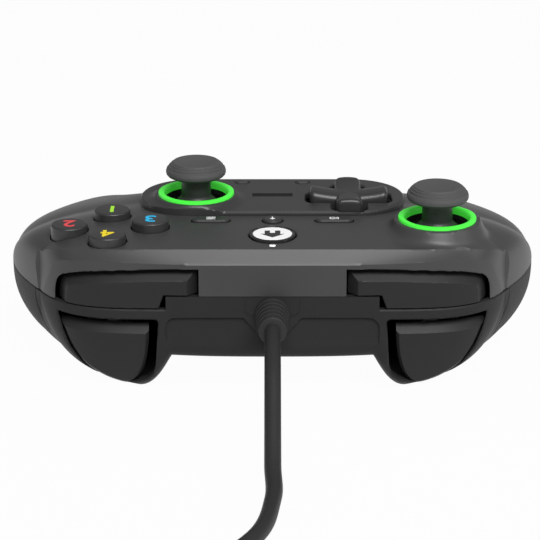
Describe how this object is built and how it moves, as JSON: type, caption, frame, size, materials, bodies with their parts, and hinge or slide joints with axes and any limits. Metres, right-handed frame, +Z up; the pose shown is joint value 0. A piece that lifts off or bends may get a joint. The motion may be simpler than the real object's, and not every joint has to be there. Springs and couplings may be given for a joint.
{
  "type": "wired gamepad controller",
  "caption": "Wired gamepad with offset thumb sticks in green rings, cross pad, face buttons, bumpers, triggers, rounded grips and a coiled cord with its plug.",
  "frame": {"origin": "middle of the underside of the housing's box, on the table, cord left out", "axes": "+Z up from the table, -Y the way the cord, bumpers and triggers face, +X to the player's left"},
  "size_m": [0.153, 0.3227, 0.0562],
  "materials": {
    "shell": "fine satin moulding",
    "lower": "fine satin moulding",
    "grip": "fine grain",
    "panel": "satin",
    "ring": "bright glossy green",
    "cap": "matte",
    "stem": "semi-gloss",
    "control": "semi-gloss",
    "light": "clear white",
    "steel": "bare",
    "mechanism": "moulded",
    "board": "solder mask",
    "pad": "silicone",
    "weight": "machined",
    "cord": "smooth",
    "tongue": "moulded"
  },
  "bodies": {
    "housing": {"top_shell": "shell", "bottom_shell": "lower", "left_grip": "grip", "right_grip": "grip", "centre_panel": "panel", "left_ring": "ring", "right_ring": "ring", "left_sensor": "mechanism", "right_sensor": "mechanism", "dpad_cradle": "mechanism", "status_light": "light", "left_trigger_pin": "steel", "right_trigger_pin": "steel", "middle_frame": "mechanism", "main_board": "board", "face_pads": "pad", "dpad_pads": "pad", "bumper_switches": "steel", "left_motor": "steel", "right_motor": "steel", "headset_socket": "mechanism", "housing_screws": "steel", "cord_sleeve": "cord", "cord_lead": "cord", "cord_coil": "cord", "cord_tail": "cord", "cord_tie": "cord", "plug_body": "cord", "plug_shell": "steel", "plug_tongue": "tongue"},
    "left_rocker_body": {"left_rocker": "mechanism"},
    "left_shaft_body": {"left_stick_shaft": "steel"},
    "left_stick": {"left_stick_cap": "cap", "left_stick_stem": "stem"},
    "right_rocker_body": {"right_rocker": "mechanism"},
    "right_shaft_body": {"right_stick_shaft": "steel"},
    "right_stick": {"right_stick_cap": "cap", "right_stick_stem": "stem"},
    "dpad_rocker_body": {"dpad_rocker": "mechanism"},
    "dpad_body": {"dpad": "control"},
    "left_trigger_body": {"left_trigger": "control", "left_trigger_spring": "steel"},
    "right_trigger_body": {"right_trigger": "control", "right_trigger_spring": "steel"},
    "face_button_1_body": {"face_button_1": "control"},
    "face_button_2_body": {"face_button_2": "control"},
    "face_button_3_body": {"face_button_3": "control"},
    "face_button_4_body": {"face_button_4": "control"},
    "menu_button_body": {"menu_button": "control"},
    "view_button_body": {"view_button": "control"},
    "share_button_body": {"share_button": "control"},
    "home_button_body": {"home_button": "control"},
    "left_set_button_body": {"left_set_button": "control"},
    "right_set_button_body": {"right_set_button": "control"},
    "left_bumper_body": {"left_bumper": "control"},
    "right_bumper_body": {"right_bumper": "control"},
    "left_weight_body": {"left_weight": "weight"},
    "right_weight_body": {"right_weight": "weight"}
  },
  "joints": [
    {"name": "left_stick_fore_aft", "type": "hinge", "parent": "housing", "child": "left_rocker_body", "pos_m": [0.0464, -0.0335, 0.0379], "axis": [1, 0, 0], "range_deg": [-18, 18], "stiffness_Nm_per_rad": 0.026},
    {"name": "left_stick_side", "type": "hinge", "parent": "left_rocker_body", "child": "left_shaft_body", "pos_m": [0.0464, -0.0335, 0.0379], "axis": [0, 1, 0], "range_deg": [-18, 18], "stiffness_Nm_per_rad": 0.026},
    {"name": "left_stick_click", "type": "slide", "parent": "left_shaft_body", "child": "left_stick", "axis": [0, 0, -1], "range_m": [0, 0.0005], "stiffness_N_per_m": 2500, "springref_m": -0.0004},
    {"name": "right_stick_fore_aft", "type": "hinge", "parent": "housing", "child": "right_rocker_body", "pos_m": [-0.0222, -0.0103, 0.0379], "axis": [1, 0, 0], "range_deg": [-18, 18], "stiffness_Nm_per_rad": 0.026},
    {"name": "right_stick_side", "type": "hinge", "parent": "right_rocker_body", "child": "right_shaft_body", "pos_m": [-0.0222, -0.0103, 0.0379], "axis": [0, 1, 0], "range_deg": [-18, 18], "stiffness_Nm_per_rad": 0.026},
    {"name": "right_stick_click", "type": "slide", "parent": "right_shaft_body", "child": "right_stick", "axis": [0, 0, -1], "range_m": [0, 0.0005], "stiffness_N_per_m": 2500, "springref_m": -0.0004},
    {"name": "dpad_fore_aft", "type": "hinge", "parent": "housing", "child": "dpad_rocker_body", "pos_m": [0.0222, -0.0093, 0.038], "axis": [1, 0, 0], "range_deg": [-6, 6], "stiffness_Nm_per_rad": 0.06},
    {"name": "dpad_side", "type": "hinge", "parent": "dpad_rocker_body", "child": "dpad_body", "pos_m": [0.0222, -0.0093, 0.038], "axis": [0, 1, 0], "range_deg": [-6, 6], "stiffness_Nm_per_rad": 0.06},
    {"name": "face_button_1_press", "type": "slide", "parent": "housing", "child": "face_button_1_body", "axis": [0, 0, -1], "range_m": [0, 0.0013], "stiffness_N_per_m": 260, "springref_m": -0.0008},
    {"name": "face_button_2_press", "type": "slide", "parent": "housing", "child": "face_button_2_body", "axis": [0, 0, -1], "range_m": [0, 0.0013], "stiffness_N_per_m": 260, "springref_m": -0.0008},
    {"name": "face_button_3_press", "type": "slide", "parent": "housing", "child": "face_button_3_body", "axis": [0, 0, -1], "range_m": [0, 0.0013], "stiffness_N_per_m": 260, "springref_m": -0.0008},
    {"name": "face_button_4_press", "type": "slide", "parent": "housing", "child": "face_button_4_body", "axis": [0, 0, -1], "range_m": [0, 0.0013], "stiffness_N_per_m": 260, "springref_m": -0.0008},
    {"name": "menu_button_press", "type": "slide", "parent": "housing", "child": "menu_button_body", "axis": [0, 0, -1], "range_m": [0, 0.0006], "stiffness_N_per_m": 600, "springref_m": -0.0006},
    {"name": "view_button_press", "type": "slide", "parent": "housing", "child": "view_button_body", "axis": [0, 0, -1], "range_m": [0, 0.0006], "stiffness_N_per_m": 600, "springref_m": -0.0006},
    {"name": "share_button_press", "type": "slide", "parent": "housing", "child": "share_button_body", "axis": [0, 0, -1], "range_m": [0, 0.0006], "stiffness_N_per_m": 600, "springref_m": -0.0006},
    {"name": "home_button_press", "type": "slide", "parent": "housing", "child": "home_button_body", "axis": [0, 0, -1], "range_m": [0, 0.0006], "stiffness_N_per_m": 600, "springref_m": -0.0006},
    {"name": "left_set_button_press", "type": "slide", "parent": "housing", "child": "left_set_button_body", "axis": [0, 0, -1], "range_m": [0, 0.0006], "stiffness_N_per_m": 600, "springref_m": -0.0006},
    {"name": "right_set_button_press", "type": "slide", "parent": "housing", "child": "right_set_button_body", "axis": [0, 0, -1], "range_m": [0, 0.0006], "stiffness_N_per_m": 600, "springref_m": -0.0006},
    {"name": "left_bumper_press", "type": "hinge", "parent": "housing", "child": "left_bumper_body", "pos_m": [0.0165, -0.0479, 0.032], "axis": [0, 0, 1], "range_deg": [0, 1.8], "stiffness_Nm_per_rad": 1, "springref_deg": -0.69},
    {"name": "right_bumper_press", "type": "hinge", "parent": "housing", "child": "right_bumper_body", "pos_m": [-0.0165, -0.0479, 0.032], "axis": [0, 0, -1], "range_deg": [0, 1.8], "stiffness_Nm_per_rad": 1, "springref_deg": -0.69},
    {"name": "left_trigger_pull", "type": "hinge", "parent": "housing", "child": "left_trigger_body", "pos_m": [0.045, -0.044, 0.0204], "axis": [1, 0, 0], "range_deg": [0, 16], "stiffness_Nm_per_rad": 0.03, "springref_deg": -11.46},
    {"name": "right_trigger_pull", "type": "hinge", "parent": "housing", "child": "right_trigger_body", "pos_m": [-0.045, -0.044, 0.0204], "axis": [1, 0, 0], "range_deg": [0, 16], "stiffness_Nm_per_rad": 0.03, "springref_deg": -11.46},
    {"name": "left_weight_spin", "type": "hinge", "parent": "housing", "child": "left_weight_body", "pos_m": [0.05, 0.014, 0.013], "axis": [0, 1, 0], "continuous": true},
    {"name": "right_weight_spin", "type": "hinge", "parent": "housing", "child": "right_weight_body", "pos_m": [-0.05, 0.014, 0.013], "axis": [0, 1, 0], "continuous": true}
  ]
}
